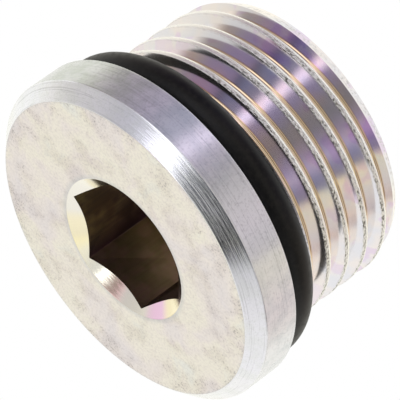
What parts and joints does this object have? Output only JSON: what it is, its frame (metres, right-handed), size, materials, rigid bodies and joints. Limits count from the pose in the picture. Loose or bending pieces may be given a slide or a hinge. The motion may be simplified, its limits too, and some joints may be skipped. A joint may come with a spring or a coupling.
{
  "type": "hex socket plug",
  "caption": "Straight-thread screw plug with a bevelled round head, a countersunk hexagon socket and a rubber sealing ring in the undercut behind the head.",
  "frame": {"origin": "centre of the flat thread end, which is the bottom of the part as it stands", "axes": "+Z along the plug's axis, out of the head; +X through a corner of the hexagon socket"},
  "size_m": [0.0222, 0.0222, 0.0142],
  "materials": {
    "plated_steel": "turned steel with a thin zinc plating that shows faint rainbow colours",
    "black_rubber": "smooth black moulded rubber with a soft sheen"
  },
  "bodies": {
    "root": {"plug_body": "plated_steel", "sealing_ring": "black_rubber"}
  },
  "joints": []
}
